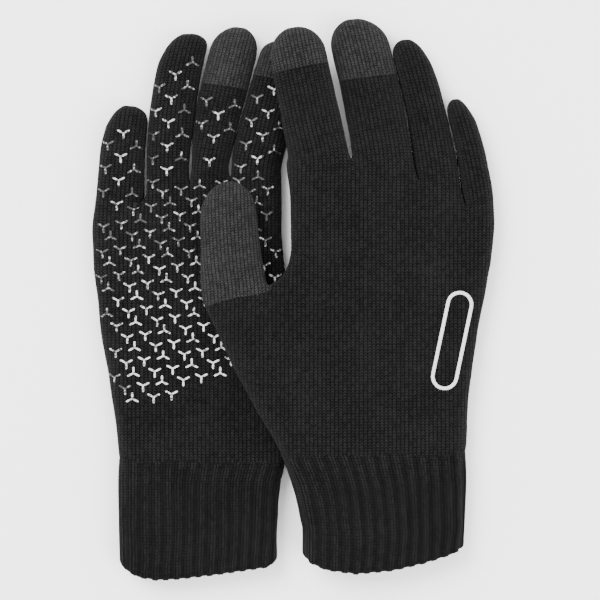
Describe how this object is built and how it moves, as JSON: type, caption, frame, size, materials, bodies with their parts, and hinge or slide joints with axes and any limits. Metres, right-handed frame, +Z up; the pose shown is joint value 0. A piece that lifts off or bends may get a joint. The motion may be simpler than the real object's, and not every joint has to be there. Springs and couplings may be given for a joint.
{
  "type": "pair of touchscreen gloves",
  "caption": "Pair of black knitted touchscreen gloves, one laid palm up under the other, with ribbed cuffs, charcoal conductive tips and three-armed silicone grip prints.",
  "frame": {"origin": "on the surface the gloves lie on, under the middle of the pair's box", "axes": "+Z up, +Y towards the fingertips, +X towards the upper glove's little finger"},
  "size_m": [0.1773, 0.2465, 0.0274],
  "materials": {
    "knit": "matte stockinette knit",
    "rib": "matte rib knit",
    "hem": "matte bound edge",
    "conductive_knit": "matte charcoal knit",
    "elastic": "matte covered elastic",
    "print": "satin silicone",
    "thread": "satin stitching"
  },
  "bodies": {
    "lower_glove": {"lower_hand": "knit", "lower_cuff": "rib", "lower_cuff_hem": "hem", "lower_cuff_elastic": "elastic", "lower_palm_grip": "print", "lower_emblem": "thread", "lower_thumb": "conductive_knit", "lower_index": "knit", "lower_index_tip": "conductive_knit", "lower_index_grip": "print"},
    "upper_glove": {"upper_hand": "knit", "upper_cuff": "rib", "upper_cuff_hem": "hem", "upper_cuff_elastic": "elastic", "upper_palm_grip": "print", "upper_emblem": "thread"},
    "lower_middle_stall": {"lower_middle": "knit", "lower_middle_tip": "conductive_knit", "lower_middle_grip": "print"},
    "lower_ring_stall": {"lower_ring": "knit", "lower_ring_grip": "print"},
    "lower_pinky_stall": {"lower_pinky": "knit", "lower_pinky_grip": "print"},
    "upper_thumb_stall": {"upper_thumb": "conductive_knit"},
    "upper_index_stall": {"upper_index": "knit", "upper_index_tip": "conductive_knit", "upper_index_grip": "print"},
    "upper_middle_stall": {"upper_middle": "knit", "upper_middle_tip": "conductive_knit", "upper_middle_grip": "print"},
    "upper_ring_stall": {"upper_ring": "knit", "upper_ring_grip": "print"},
    "upper_pinky_stall": {"upper_pinky": "knit", "upper_pinky_grip": "print"}
  },
  "joints": [
    {"name": "upper_glove_lift", "type": "slide", "parent": "lower_glove", "child": "upper_glove", "axis": [0, 0, 1], "range_m": [0, 0.12]},
    {"name": "upper_thumb_raise", "type": "hinge", "parent": "upper_glove", "child": "upper_thumb_stall", "pos_m": [-0.02608, 0.0016, 0.02675], "axis": [0.9925, 0.1219, 0], "range_deg": [0, 45]},
    {"name": "upper_index_raise", "type": "hinge", "parent": "upper_glove", "child": "upper_index_stall", "pos_m": [0.01084, 0.0606, 0.02674], "axis": [0.9792, 0.2028, 0], "range_deg": [0, 45]},
    {"name": "upper_middle_raise", "type": "hinge", "parent": "upper_glove", "child": "upper_middle_stall", "pos_m": [0.03853, 0.0591, 0.02275], "axis": [0.9914, 0.1305, 0], "range_deg": [0, 45]},
    {"name": "upper_ring_raise", "type": "hinge", "parent": "upper_glove", "child": "upper_ring_stall", "pos_m": [0.06282, 0.0501, 0.01585], "axis": [0.9962, 0.0872, 0], "range_deg": [0, 45]},
    {"name": "upper_pinky_raise", "type": "hinge", "parent": "upper_glove", "child": "upper_pinky_stall", "pos_m": [0.08192, 0.0401, 0.0133], "axis": [0.9945, 0.1045, 0], "range_deg": [0, 45]},
    {"name": "lower_middle_fold", "type": "hinge", "parent": "lower_glove", "child": "lower_middle_stall", "pos_m": [-0.03793, 0.0556, 0.01275], "axis": [0.9877, -0.1564, 0], "range_deg": [0, 50]},
    {"name": "lower_ring_fold", "type": "hinge", "parent": "lower_glove", "child": "lower_ring_stall", "pos_m": [-0.05579, 0.0516, 0.01275], "axis": [0.9994, 0.0349, 0], "range_deg": [0, 85]},
    {"name": "lower_pinky_fold", "type": "hinge", "parent": "lower_glove", "child": "lower_pinky_stall", "pos_m": [-0.07811, 0.0366, 0.01275], "axis": [0.9981, -0.061, 0], "range_deg": [0, 70]}
  ]
}
